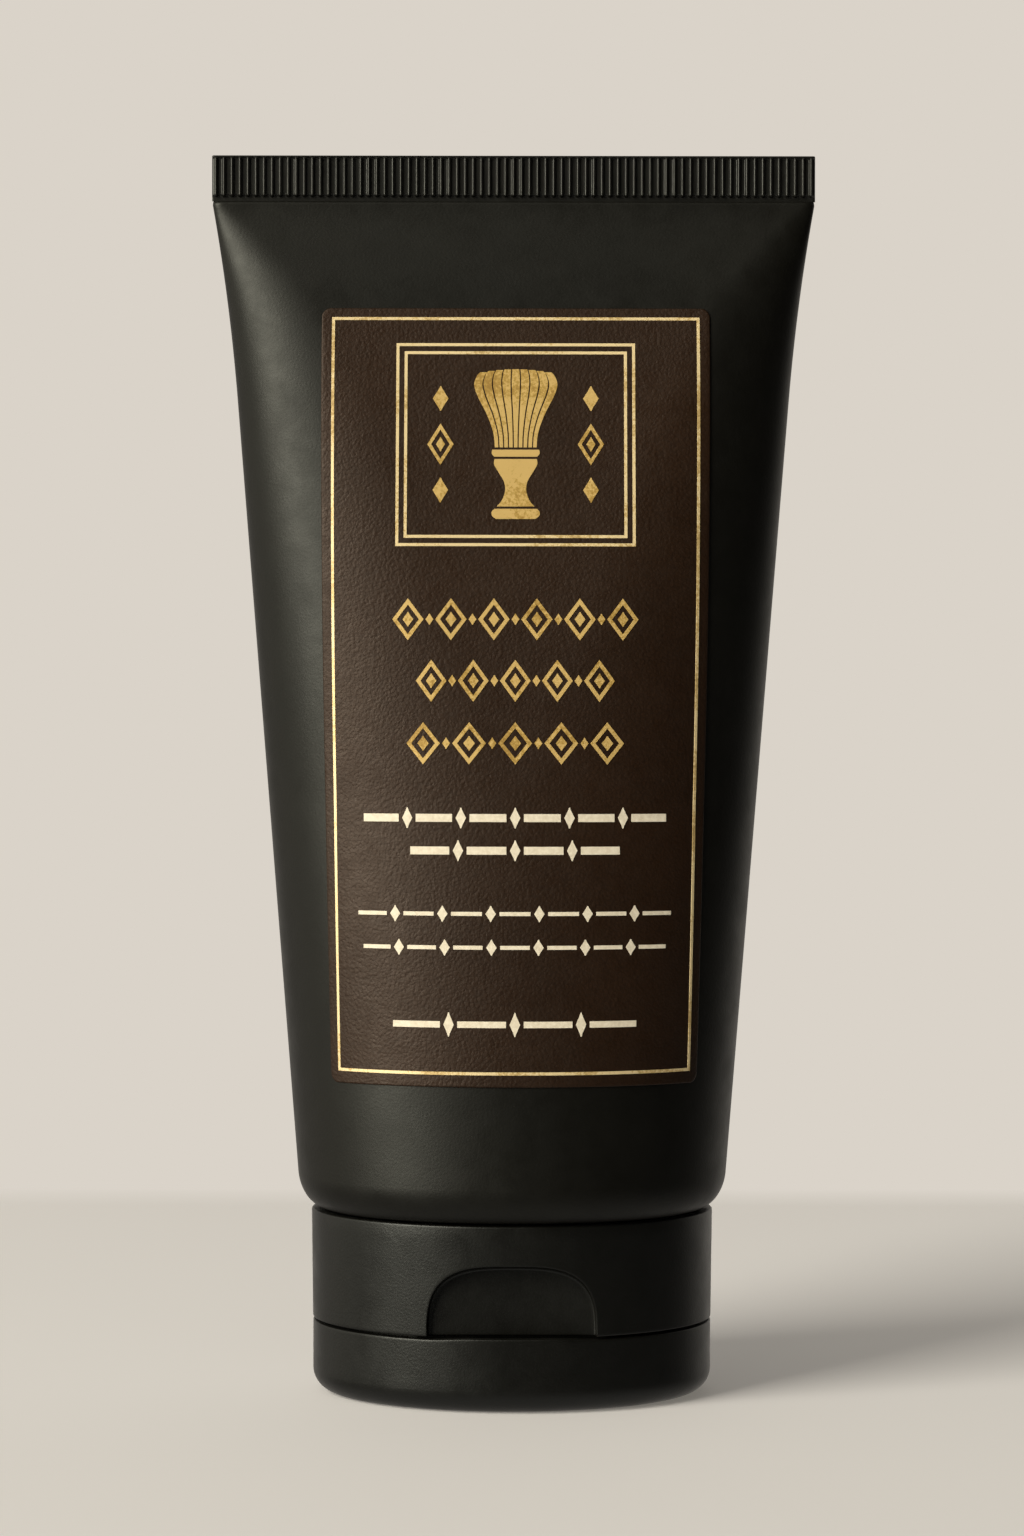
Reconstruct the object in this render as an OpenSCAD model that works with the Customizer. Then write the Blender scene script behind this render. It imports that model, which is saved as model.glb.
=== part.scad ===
// Shaving cream tube, standing head-down on its flip-top cap. All lengths are in millimetres.
// The origin is the centre of the lid's foot, on the surface that the tube stands on.
// +Z runs up to the crimped end seal, -Y is the labelled front and +Y is the hinge side.

/* [Sleeve] */
// Height from the lid's foot to the top of the end seal
total_h = 160.5; // [150:0.5:175]
// Full width of the crimped end seal, which is half of the sleeve's girth
seal_w = 78.4; // [76:0.1:80]
// Height of the crimped end seal
seal_h = 5.9; // [4:0.1:8]
// Number of ribs across the end seal
seal_ribs = 75; // [50:1:90]
// Half width of the sleeve at the cap, before its corner is rounded
base_half_w = 27.5; // [26.5:0.05:28]
// Half width that a straight taper would reach at the end seal
top_half_w = 37.9; // [37:0.05:38.1]
// Height below the end seal over which the sleeve flares out to the full width
flare_h = 26; // [18:1:36]
// Thickness of the sleeve's wall
sleeve_wall = 0.55; // [0.4:0.05:0.7]
// Radius of the sleeve's rounded corner above the cap
shoulder_r = 2.8; // [2:0.1:3.2]
// Height that the shaving cream reaches
cream_top_z = 118; // [90:1:135]

/* [Cap] */
// Height of the cap's top edge
cap_top_z = 23.8; // [22:0.1:26]
// Half width of the cap
cap_half_w = 26.1; // [25:0.1:26.5]
// Half depth of the cap
cap_half_d = 20.3; // [19.8:0.1:20.6]
// Thickness of the cap's and the lid's walls
cap_wall = 1.3; // [1:0.1:1.5]
// Height of the lid
lid_h = 9.3; // [8.6:0.1:10.5]
// Gap at the parting line between the lid and the cap
parting_gap = 0.35; // [0.3:0.05:0.5]
// Radius of the lid's foot
foot_r = 3; // [2:0.1:4]
// Width of the thumb recess at its base
recess_w = 21.4; // [16:0.2:24]
// Height of the thumb recess
recess_h = 9.1; // [7:0.1:10.5]
// Depth of the thumb recess at its middle
recess_depth = 2.9; // [1.5:0.1:3.2]
// Radius of the dispensing orifice
orifice_r = 2.25; // [2:0.05:2.8]

/* [Label] */
// Width of the label, measured around the sleeve
label_w = 49.8; // [40:0.1:52]
// Height of the label
label_h = 98.8; // [94:0.1:104]
// Height of the label's lower edge
label_z = 41.3; // [38:0.1:44]
// Distance of the label's middle from the sleeve's front line
label_shift = 0.2; // [-1:0.05:1]
// Width of the gold lines
foil_line = 0.42; // [0.3:0.02:0.6]

/* [Hidden] */

// Colours
BLACK = "#1d1c19";
BROWN = "#3b2a20";
GOLD = "#d3ab62";
CREAM = "#efe9d6";

// Facets of the oval outlines
SLEEVE_N = 56;
CAP_N = 96;
ROUND_N = 64;
EPS = 0.01;

// Sleeve: heights of its ends and the shape of its cross-section
sleeve_z = cap_top_z + 0.3;
seal_z = total_h - seal_h;
seal_half_t = sleeve_wall;
corner_z = sleeve_z + shoulder_r * sin(75);
quarter_girth = seal_w / 2 - 0.25;
// Exponent q for which an oval's perimeter is 4 (a^q + b^q)^(1/q), and its fall up to the seal
OVAL_Q = ln(2) / ln(PI / 2);
Q_FALL = 0.2;
// Height from which the exponent falls
flatten_z = 60;
// Height from which a flat panel widens up the front and the back, and its least share of the width
panel_z = 77;
PANEL_MIN = 0.02;

// Cap: levels and clearances
skirt_z = lid_h + parting_gap;
deck_t = 1.6;
deck_top_z = skirt_z + deck_t;
lid_floor_t = 1.4;
rim_gap = 0.5;
rim_t = 1.2;
rim_h = 1.45;
recess_back_y = -(cap_half_d - recess_depth);
hinge_y = cap_half_d - 1.3;
hinge_half_w = 8.2;
film_t = 0.6;
crest_h = 0.25;

// Neck, snap fit and nozzle
neck_r = 9.5;
neck_wall = 1.5;
neck_end_z = deck_top_z + 0.25;
shoulder_t = 1.4;
bead_r = 10.1;
bead_z = 17.6;
fit_gap = 0.15;
collar_r = 11.3;
collar_top_z = 21;
nozzle_r = 3.6;
nozzle_z = 5.4;
plug_tip_z = nozzle_z + 1.2;

// Printing: how far each layer lifts off the sleeve
label_in = 0.12;
label_out = 0.26;
foil_in = 0.3;
foil_out = 0.4;

// ---- The sleeve's surface ----

// Half width at height z: a straight taper and a flare below the seal
function half_w(z) =
    base_half_w + (top_half_w - base_half_w) * (z - sleeve_z) / (seal_z - sleeve_z)
    + (seal_w / 2 - top_half_w) * pow(max(0, z - seal_z + flare_h) / flare_h, 2);

// 0 where the section is a plain oval, rising to 1 at the seal
function flatness(z) = max(0, min(1, (z - flatten_z) / (seal_z - flatten_z)));

// Half width of the flat panel at height z
function panel_half_w(z) =
    let (t = max(0, min(1, (z - panel_z) / (seal_z - panel_z))))
    half_w(z) * max(PANEL_MIN, 0.78 * t + 0.2 * pow(t, 8));

// Half depth that a sleeve of constant girth has left at height z
function half_d(z) =
    let (q = OVAL_Q - Q_FALL * flatness(z))
    seal_half_t + pow(max(0, pow(quarter_girth, q) - pow(half_w(z), q)), 1 / q);

// Inset of the rounded corner above the cap
function corner_inset(z) =
    z >= corner_z ? 0 : shoulder_r - sqrt(pow(shoulder_r, 2) - pow(corner_z - z, 2));

// Ring of points around the sleeve at height z, moved in by inset: two flat panels joined by
// half ellipses
function section(z, inset) =
    let (
        a = half_w(z) - corner_inset(z) - inset, b = half_d(z) - corner_inset(z) - inset,
        f = panel_half_w(z), n = SLEEVE_N / 2
    )
    [for (side = [1, -1], i = [0 : n - 1])
        let (t = -90 + 180 * i / (n - 1)) [side * (f + (a - f) * cos(t)), side * b * sin(t), z]];

// Depth of the front surface in front of the axis, at x and height z
function front_y(x, z) =
    let (f = panel_half_w(z), beyond = max(0, abs(x) - f) / (half_w(z) - f))
    half_d(z) * sqrt(max(0, 1 - beyond * beyond));

// Length along the front surface from its middle to x, at height z
ARC_STEPS = 12;
function arc_length(x, z) =
    let (ys = [for (i = [0 : ARC_STEPS]) front_y(x * i / ARC_STEPS, z)], dx = x / ARC_STEPS)
    sign(x) * sum([for (i = [1 : ARC_STEPS]) norm([dx, ys[i] - ys[i - 1]])]);

function sum(list, i = 0) = i < len(list) ? list[i] + sum(list, i + 1) : 0;

// x of the point at length s along the front surface
function arc_x(s, z, x, turns = 5) =
    turns == 0 ? x : arc_x(s, z, x - (arc_length(x, z) - s) * 0.85, turns - 1);

// Point of the front surface at length s from the label's middle and height z, lifted off it
function wrap(s, z, lift) =
    let (
        x = arc_x(s + label_shift, z, s + label_shift),
        y = front_y(x, z),
        slope = (front_y(x + 0.05, z) - front_y(x - 0.05, z)) / 0.1,
        n = norm([slope, 1])
    )
    [x - lift * slope / n, -y - lift / n, z];

// ---- Solids built from rings and strips ----

// Faces that join two closed rings of n points, whose first points are a and b
function ring_faces(a, b, n) =
    [for (i = [0 : n - 1]) let (j = (i + 1) % n) [a + i, b + i, b + j, a + j]];

// Solid through closed rings, listed from the bottom up
module loft(rings) {
    n = len(rings[0]);
    last = n * (len(rings) - 1);
    polyhedron(
        points = [for (ring = rings) each ring],
        faces = [
            [for (i = [0 : n - 1]) i],
            [for (i = [n - 1 : -1 : 0]) last + i],
            for (k = [0 : len(rings) - 2]) each ring_faces(n * k, n * (k + 1), n)
        ]
    );
}

// Solid between two stacks of rings, open at the bottom and closed at the top
module shell_loft(outer, inner) {
    n = len(outer[0]);
    first_in = n * len(outer);
    last_out = first_in - n;
    last_in = first_in + n * (len(inner) - 1);
    polyhedron(
        points = [for (ring = concat(outer, inner)) each ring],
        faces = [
            [for (i = [n - 1 : -1 : 0]) last_out + i],
            [for (i = [0 : n - 1]) last_in + i],
            for (k = [0 : len(outer) - 2]) each ring_faces(n * k, n * (k + 1), n),
            for (k = [0 : len(inner) - 2])
                each ring_faces(first_in + n * (k + 1), first_in + n * k, n),
            each ring_faces(first_in, 0, n)
        ]
    );
}

// Thin plate wrapped onto the front. Each row is [height, left end, right end] and is cut into
// the given number of columns.
module wrapped_rows(rows, columns, lift_in, lift_out) {
    m = columns + 1;
    r = len(rows);
    function grid(lift) = [for (row = rows, c = [0 : columns])
        wrap(row[1] + (row[2] - row[1]) * c / columns, row[0], lift)];
    out = m * r;
    edge = concat(
        [for (c = [0 : columns]) c],
        [for (k = [1 : r - 1]) m * k + columns],
        [for (c = [columns - 1 : -1 : 0]) m * (r - 1) + c],
        r > 2 ? [for (k = [r - 2 : -1 : 1]) m * k] : []
    );
    polyhedron(
        points = concat(grid(lift_in), grid(lift_out)),
        faces = [
            for (k = [0 : r - 2], c = [0 : columns - 1]) let (i = m * k + c) each [
                [i, i + 1, i + m + 1, i + m],
                [out + i, out + i + m, out + i + m + 1, out + i + 1]
            ],
            for (i = [0 : len(edge) - 1]) let (p = edge[i], q = edge[(i + 1) % len(edge)])
                [q, p, out + p, out + q]
        ]
    );
}

// Thin closed line wrapped onto the front, running just inside a rectangle
module wrapped_frame(half_width, low_z, high_z, line_w) {
    columns = ceil(half_width * 2 / 3);
    rows = ceil((high_z - low_z) / 8);
    function loop(inset) =
        let (w = half_width - inset, z0 = low_z + inset, z1 = high_z - inset) [
            for (c = [0 : columns - 1]) [-w + 2 * w * c / columns, z0],
            for (k = [0 : rows - 1]) [w, z0 + (z1 - z0) * k / rows],
            for (c = [0 : columns - 1]) [w - 2 * w * c / columns, z1],
            for (k = [0 : rows - 1]) [-w, z1 - (z1 - z0) * k / rows]
        ];
    function lifted(inset, lift) = [for (p = loop(inset)) wrap(p[0], p[1], lift)];
    n = 2 * (columns + rows);
    polyhedron(
        points = concat(
            lifted(0, foil_in), lifted(line_w, foil_in), lifted(line_w, foil_out), lifted(0, foil_out)
        ),
        faces = [for (k = [0 : 3]) each ring_faces(n * k, n * ((k + 1) % 4), n)]
    );
}

// Lozenge standing on its tip, centred at (s, z)
module lozenge(s, z, w, h) {
    tip = 0.08;
    wrapped_rows(
        [[z - h / 2, s - tip, s + tip], [z, s - w / 2, s + w / 2], [z + h / 2, s - tip, s + tip]],
        2, foil_in, foil_out
    );
}

// Upright or level bar, centred at (s, z)
module bar(s, z, w, h) {
    wrapped_rows(
        [[z - h / 2, s - w / 2, s + w / 2], [z + h / 2, s - w / 2, s + w / 2]],
        max(1, ceil(w / 2.5)), foil_in, foil_out
    );
}

// Row of lozenges with a small lozenge in each gap
module lozenge_row(z, w, h, count) {
    pitch = w / count;
    for (i = [0 : count - 1])
        lozenge((i - (count - 1) / 2) * pitch, z, pitch * 0.72, h);
    for (i = [1 : count - 1])
        lozenge((i - count / 2) * pitch, z, 1, h * 0.26);
}

// Row of level bars with a small lozenge in each gap
module bar_row(z, w, h, count, weight) {
    gap = 2.2;
    bar_w = (w - gap * (count - 1)) / count;
    for (i = [0 : count - 1])
        bar((i - (count - 1) / 2) * (bar_w + gap), z, bar_w, weight);
    for (i = [1 : count - 1])
        lozenge((i - count / 2) * (bar_w + gap), z, gap * 0.6, h);
}

// ---- Tube ----

// Heights of the sleeve's rings: the rounded corner, the taper and the flattening top
corner_rings = [for (t = [75, 55, 35, 15]) corner_z - shoulder_r * sin(t)];
straight_z = seal_z - flare_h;
taper_rings = [for (i = [0 : 9]) corner_z + (straight_z - corner_z) * i / 9];
top_rings = [for (t = [0.2, 0.4, 0.56, 0.7, 0.82, 0.91]) straight_z + flare_h * t];

module tube_sleeve() {
    heights = concat(corner_rings, taper_rings, top_rings);
    color(BLACK) shell_loft(
        [for (z = concat(heights, [seal_z - 1, seal_z])) section(z, 0)],
        [for (z = heights) section(z, sleeve_wall)]
    );
}

// Crimped end: a thin band, the ribbed height and a plain lip along the top edge
module end_seal() {
    pitch = seal_w / seal_ribs;
    rib_t = 0.2;
    band_h = 0.5;
    lip_h = 0.35;
    low = seal_half_t - rib_t / 2;
    high = seal_half_t + rib_t / 2;
    // Front half of the outline: a groove, a slope, a ridge and a slope for each rib
    front = [for (i = [0 : seal_ribs - 1]) let (x = -seal_w / 2 + pitch * i) each [
        [x + pitch * 0.08, -low], [x + pitch * 0.24, -high],
        [x + pitch * 0.76, -high], [x + pitch * 0.92, -low]
    ]];
    back = [for (i = [len(front) - 1 : -1 : 0]) [front[i][0], -front[i][1]]];
    color(BLACK) {
        seal_plate(seal_z, band_h, low);
        translate([0, 0, seal_z + band_h])
            linear_extrude(height = seal_h - band_h - lip_h) polygon(concat(front, back));
        seal_plate(total_h - lip_h, lip_h, high);
    }
}

// Plain strip of the end seal
module seal_plate(z, h, half_t) {
    translate([-seal_w / 2, -half_t, z]) cube([seal_w, 2 * half_t, h]);
}

// Oval outline of the cap, moved in by inset
module cap_oval(inset) {
    polygon([for (i = [0 : CAP_N - 1]) let (t = 360 * i / CAP_N)
        [(cap_half_w - inset) * cos(t), (cap_half_d - inset) * sin(t)]]);
}

module tube_head() {
    plate_w = half_w(sleeve_z) - shoulder_r - sleeve_wall;
    plate_d = half_d(sleeve_z) - shoulder_r - sleeve_wall;
    color(BLACK) {
        translate([0, 0, sleeve_z]) linear_extrude(height = shoulder_t) difference() {
            polygon([for (i = [0 : SLEEVE_N - 1]) let (t = 360 * i / SLEEVE_N)
                [plate_w * cos(t), plate_d * sin(t)]]);
            circle(r = neck_r - EPS, $fn = ROUND_N);
        }
        rotate_extrude($fn = ROUND_N) polygon([
            [orifice_r + 0.75, neck_end_z], [neck_r, neck_end_z],
            [neck_r, bead_z - 0.6], [bead_r, bead_z - 0.1], [bead_r, bead_z + 0.3],
            [neck_r, bead_z + 0.9], [neck_r, sleeve_z + shoulder_t],
            [neck_r - neck_wall, sleeve_z + shoulder_t], [neck_r - neck_wall, neck_end_z + 1.2],
            [orifice_r + 0.75, neck_end_z + 1.2]
        ]);
    }
}

module shave_cream() {
    gap = 0.15;
    low_z = sleeve_z + shoulder_t + gap;
    middle = [for (z = concat(corner_rings, taper_rings)) if (z > low_z && z < cream_top_z) z];
    color(CREAM) {
        loft([for (z = concat([low_z], middle, [cream_top_z])) section(z, sleeve_wall + gap)]);
        translate([0, 0, neck_end_z + 1.2 + gap])
            cylinder(r = neck_r - neck_wall - gap, h = low_z - neck_end_z - 1.2, $fn = ROUND_N);
    }
}

// ---- Label ----

module front_label() {
    corner = 1.2;
    half = label_w / 2;
    top = label_z + label_h;
    bends = [for (t = [0, 30, 60]) [corner * (1 - cos(t)), corner * (1 - sin(t))]];
    rows = concat(
        [for (b = [bends[2], bends[1], bends[0]]) [label_z + b[1], half - b[0]]],
        [for (i = [1 : 15]) [label_z + corner + (label_h - 2 * corner) * i / 16, half]],
        [for (b = bends) [top - b[1], half - b[0]]]
    );
    color(BROWN) wrapped_rows([for (r = rows) [r[0], -r[1], r[1]]], 24, label_in, label_out);
}

module label_border() {
    inset = 1.3;
    color(GOLD) wrapped_frame(
        label_w / 2 - inset, label_z + inset + 0.2, label_z + label_h - inset + 0.1, foil_line
    );
}

// The emblem's frame stands high on the label
frame_half_w = 15.3;
frame_low_z = label_z + 68;
frame_h = 26.2;
frame_step = 1.05;

module emblem_frame() {
    color(GOLD) for (inset = [0, frame_step])
        wrapped_frame(frame_half_w - inset, frame_low_z + inset,
            frame_low_z + frame_h - inset, foil_line);
}

// A plain shaving brush between two columns of lozenges
module emblem() {
    mid_z = frame_low_z + frame_h / 2;
    // Outline of the handle and of the hair, as [height, half width]
    handle = [[-9.6, 2.3], [-8.8, 2.9], [-7.4, 2.6], [-5.4, 1.5], [-3.4, 1.9], [-2, 2.9], [-0.6, 3]];
    hair = [[0, 2.9], [2, 3.1], [5, 4.3], [7.6, 5.4], [9, 4.6], [9.7, 2.2]];
    color(GOLD) {
        for (part = [handle, hair])
            wrapped_rows([for (p = part) [mid_z + p[0], -p[1], p[1]]], 4, foil_in, foil_out);
        for (side = [-1, 1]) {
            lozenge(side * 9.6, mid_z, 3.4, 5.4);
            for (step = [-1, 1]) lozenge(side * 9.6, mid_z + step * 5.9, 2, 3.2);
        }
    }
}

module heading_ornaments() {
    color(GOLD) {
        lozenge_row(label_z + 58.7, 32.7, 5.4, 6);
        lozenge_row(label_z + 50.9, 26.6, 5.4, 5);
        lozenge_row(label_z + 43, 29.1, 5.4, 5);
    }
}

module upper_caption_bars() {
    color(CREAM) {
        bar_row(label_z + 33.6, 38.8, 2.6, 6, 1);
        bar_row(label_z + 29.5, 26.5, 2.6, 4, 1);
    }
}

module lower_caption_bars() {
    color(CREAM) {
        bar_row(label_z + 21.6, 40.4, 2, 7, 0.5);
        bar_row(label_z + 17.4, 39, 2, 7, 0.5);
    }
}

module volume_bars() {
    color(CREAM) bar_row(label_z + 7.8, 31, 3, 4, 0.8);
}

// ---- Cap ----

// Inside outline of the cap's skirt. Its front is filled behind the thumb recess and its
// rear is filled behind the hinge.
module cap_inside() {
    difference() {
        cap_oval(cap_wall);
        translate([-recess_w / 2 - cap_wall, -cap_half_d])
            square([recess_w + 2 * cap_wall, cap_half_d + recess_back_y + cap_wall]);
        rear_pad();
    }
}

// Wall thickness added inside the flat that the hinge lies on
module rear_pad() {
    translate([-hinge_half_w - cap_wall, hinge_y - cap_wall])
        square([2 * (hinge_half_w + cap_wall), cap_wall * 2]);
}

// Flat cut across the rear of the cap and of the lid, from z0 to z1
module hinge_flat(z0, z1) {
    translate([-cap_half_w, hinge_y, z0]) cube([2 * cap_half_w, cap_half_d, z1 - z0]);
}

// Arched front outline of the thumb recess, |x/w|^p + |z/h|^p = 1
module recess_arch() {
    power = 2 / 3.1;
    polygon(concat(
        [[recess_w / 2, -1]],
        [for (t = [0 : 6 : 180])
            [recess_w / 2 * sign(cos(t)) * pow(abs(cos(t)), power), recess_h * pow(sin(t), power)]],
        [[-recess_w / 2, -1]]
    ));
}

module cap_skirt() {
    color(BLACK) difference() {
        translate([0, 0, skirt_z]) linear_extrude(height = cap_top_z - skirt_z) difference() {
            cap_oval(0);
            cap_inside();
        }
        hinge_flat(skirt_z - 1, skirt_z + 6);
        translate([0, recess_back_y, skirt_z]) rotate([90, 0, 0])
            linear_extrude(height = cap_half_d) recess_arch();
    }
}

// Deck with the rim that the lid closes over
module cap_deck() {
    rim_in = cap_wall + rim_gap;
    color(BLACK) {
        translate([0, 0, skirt_z]) linear_extrude(height = deck_t) difference() {
            cap_inside();
            circle(r = nozzle_r, $fn = ROUND_N);
        }
        translate([0, 0, skirt_z - rim_h]) linear_extrude(height = rim_h) intersection() {
            difference() {
                cap_oval(rim_in);
                cap_oval(rim_in + rim_t);
            }
            translate([-cap_half_w, recess_back_y + cap_wall + EPS])
                square([2 * cap_half_w, hinge_y + 0.4 - 2 * cap_wall - recess_back_y - cap_wall]);
        }
    }
}

module cap_ribs() {
    rib_t = 1;
    color(BLACK) translate([0, 0, deck_top_z]) linear_extrude(height = 8) intersection() {
        cap_inside();
        difference() {
            for (turn = [0, 38, 90, 142]) rotate(turn) square([2 * cap_half_w, rib_t], center = true);
            circle(r = collar_r, $fn = ROUND_N);
        }
    }
}

module snap_collar() {
    inner = neck_r + fit_gap;
    groove = bead_r + fit_gap;
    color(BLACK) rotate_extrude($fn = ROUND_N) polygon([
        [inner, deck_top_z], [collar_r, deck_top_z], [collar_r, collar_top_z],
        [bead_r + fit_gap, collar_top_z], [inner, bead_z + 1.5], [inner, bead_z + 1.2],
        [groove, bead_z + 0.6], [groove, bead_z - 0.4], [inner, bead_z - 1]
    ]);
}

module dispensing_nozzle() {
    color(BLACK) rotate_extrude($fn = ROUND_N) polygon([
        [orifice_r + 0.3, nozzle_z], [nozzle_r - 0.5, nozzle_z], [nozzle_r, nozzle_z + 0.5],
        [nozzle_r, deck_top_z], [orifice_r, deck_top_z], [orifice_r, nozzle_z + 0.4]
    ]);
}

// ---- Hinge ----

// Thin web lying on the rear flat, across the parting line
module hinge_web(x, w, h) {
    color(BLACK) translate([x - w / 2, hinge_y, lid_h + parting_gap / 2 - h / 2])
        cube([w, film_t, h]);
}

module hinge_film() { hinge_web(0, 8.4, 2.6); }
module hinge_band_left() { hinge_web(-6.7, 1.8, 6); }
module hinge_band_right() { hinge_web(6.7, 1.8, 6); }

// ---- Lid ----

module lid_shell() {
    side_in = 0.2;
    // Rings of the rounded foot, as [inset, height], and the straight wall above them
    rings = [for (t = [90 : -15 : 0]) [side_in + foot_r * (1 - cos(t)), foot_r * (1 - sin(t))]];
    color(BLACK) difference() {
        union() {
            loft([for (r = concat(rings, [[side_in, lid_h]]))
                [for (i = [0 : CAP_N - 1]) let (t = 360 * i / CAP_N)
                    [(cap_half_w - r[0]) * cos(t), (cap_half_d - r[0]) * sin(t), r[1]]]]);
            // Crest of the lid's rim below the thumb recess
            translate([0, 0, lid_h - EPS]) linear_extrude(height = crest_h + EPS) intersection() {
                cap_oval(side_in);
                translate([-recess_w * 0.4, -cap_half_d]) square([recess_w * 0.8, 2.2]);
            }
        }
        translate([0, 0, lid_floor_t]) linear_extrude(height = lid_h) difference() {
            cap_oval(side_in + cap_wall);
            rear_pad();
        }
        hinge_flat(lid_h - 5, lid_h + 1);
    }
}

module sealing_plug() {
    color(BLACK) rotate_extrude($fn = ROUND_N) polygon([
        [0, lid_floor_t], [orifice_r + 1, lid_floor_t], [orifice_r - 0.2, lid_floor_t + 1.2],
        [orifice_r - 0.2, nozzle_z], [orifice_r - 0.45, plug_tip_z], [0, plug_tip_z]
    ]);
}

tube_sleeve();
end_seal();
tube_head();
shave_cream();
front_label();
label_border();
emblem_frame();
emblem();
heading_ornaments();
upper_caption_bars();
lower_caption_bars();
volume_bars();
cap_skirt();
cap_deck();
cap_ribs();
snap_collar();
dispensing_nozzle();
hinge_film();
hinge_band_left();
hinge_band_right();
lid_shell();
sealing_plug();
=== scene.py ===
"""Shaving cream tube standing head-down on its flip-top cap: visual model, studio and camera.

Shapes are worked out in millimetres in the frame of the CAD model, and scaled to metres when a mesh
is made. Every outer piece is a fine mesh that stands for its CAD node. The label and its print are
wrapped onto the sleeve's surface by arc length.
"""
import math

import bmesh
import bpy
import numpy as np
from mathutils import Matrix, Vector


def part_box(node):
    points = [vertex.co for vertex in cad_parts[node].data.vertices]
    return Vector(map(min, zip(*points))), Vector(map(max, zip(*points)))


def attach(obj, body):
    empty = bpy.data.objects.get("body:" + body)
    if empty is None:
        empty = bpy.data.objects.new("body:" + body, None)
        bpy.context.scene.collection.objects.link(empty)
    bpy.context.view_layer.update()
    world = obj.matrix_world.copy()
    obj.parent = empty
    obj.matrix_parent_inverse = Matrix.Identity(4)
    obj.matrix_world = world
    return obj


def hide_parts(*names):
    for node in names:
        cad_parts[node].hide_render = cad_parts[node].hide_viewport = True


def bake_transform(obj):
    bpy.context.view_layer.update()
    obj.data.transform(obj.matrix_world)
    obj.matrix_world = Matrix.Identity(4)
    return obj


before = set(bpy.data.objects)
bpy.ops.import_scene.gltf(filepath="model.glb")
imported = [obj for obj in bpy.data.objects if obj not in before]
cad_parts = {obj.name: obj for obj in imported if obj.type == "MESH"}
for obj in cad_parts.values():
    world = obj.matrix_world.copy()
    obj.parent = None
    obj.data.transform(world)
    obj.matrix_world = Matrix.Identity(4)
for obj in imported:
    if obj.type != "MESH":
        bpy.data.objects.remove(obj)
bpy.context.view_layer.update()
MM = 0.001


def box_mm(node):
    """Low and high corners of a CAD node's box, in millimetres."""
    low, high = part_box(node)
    return np.array(low) / MM, np.array(high) / MM


# ---- Sizes from the frame, and the laws that the sleeve follows ----

sleeve_low = box_mm("tube_sleeve")[0]
seal_low, seal_high = box_mm("end_seal")
skirt_low, skirt_high = box_mm("cap_skirt")
lid_high = box_mm("lid_shell")[1]

SEAL_W = seal_high[0] - seal_low[0]
SEAL_Z = seal_low[2]
SEAL_TOP = seal_high[2]
SLEEVE_Z = sleeve_low[2]
BASE_HALF_W = 27.5
TOP_HALF_W = 37.9
FLARE_H = 26.0
SLEEVE_WALL = 0.55
SHOULDER_R = 3.3
QUARTER_GIRTH = SEAL_W / 2 - 0.25
OVAL_Q = math.log(2) / math.log(math.pi / 2)
Q_FALL = 0.2
FLATTEN_Z = 60.0
PANEL_Z = 77.0
SIDE_POWER = 2.1
SHOULDER_H = 4.6
CORNER_Z = SLEEVE_Z + SHOULDER_H * math.sin(math.radians(75))

# Cap
CAP_A = skirt_high[0]
CAP_B = -skirt_low[1]
SKIRT_Z = skirt_low[2]
CAP_TOP = skirt_high[2]
WALL = 1.3
DRAFT = 0.17
DECK_TOP = box_mm("cap_deck")[1][2]
HINGE_Y = box_mm("hinge_film")[0][1]
FLAT_TOP = SKIRT_Z + 6.0
RECESS_W = 21.4
RECESS_DEPTH = 2.9
LID_H = SKIRT_Z - 0.35
LID_SIDE = CAP_A - lid_high[0]
FOOT_R = 3.0
LID_FLOOR = 1.4
CREST = lid_high[2] - LID_H

# Label and print
LABEL_W = 49.8
LABEL_H = 98.8
LABEL_Z = 41.3
LABEL_SHIFT = 0.32
LABEL_CORNER = 1.2
LABEL_IN, LABEL_OUT = 0.06, 0.24
PRINT_OUT = 0.3
PRINT_IN = LABEL_OUT - 0.03
FOIL_LINE = 0.42


def half_w(z):
    """Half width of the sleeve: a straight taper that flares out below the seal."""
    z = np.asarray(z, float)
    taper = BASE_HALF_W + (TOP_HALF_W - BASE_HALF_W) * (z - SLEEVE_Z) / (SEAL_Z - SLEEVE_Z)
    flare = np.clip((z - SEAL_Z + FLARE_H) / FLARE_H, 0, None) ** 2
    return taper + (SEAL_W / 2 - TOP_HALF_W) * flare


def half_d(z):
    """Half depth that a sleeve of constant girth has left at height z."""
    q = OVAL_Q - Q_FALL * np.clip((np.asarray(z, float) - FLATTEN_Z) / (SEAL_Z - FLATTEN_Z), 0, 1)
    left = np.clip(QUARTER_GIRTH ** q - half_w(z) ** q, 0, None)
    return SLEEVE_WALL + left ** (1 / q)


def flat_share(z):
    """Share of the half width over which the front is flat: a panel that widens up to the seal."""
    t = np.clip((np.asarray(z, float) - PANEL_Z) / (SEAL_Z - PANEL_Z), 0, 1)
    return 0.78 * t + 0.2 * t ** 8


def corner_inset(z):
    """How far the rounded lower shoulder lies inside the taper."""
    below = np.clip(CORNER_Z - np.asarray(z, float), 0, SHOULDER_H) / SHOULDER_H
    return SHOULDER_R * (1 - np.sqrt(1 - below ** 2))


def front_y(x, z):
    """How far the front stands out at x and height z."""
    flat = half_w(z) * flat_share(z)
    beyond = np.clip(np.abs(x) - flat, 0, None) / (half_w(z) - flat)
    return half_d(z) * np.clip(1 - beyond ** SIDE_POWER, 0, 1) ** (1 / SIDE_POWER)


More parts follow.
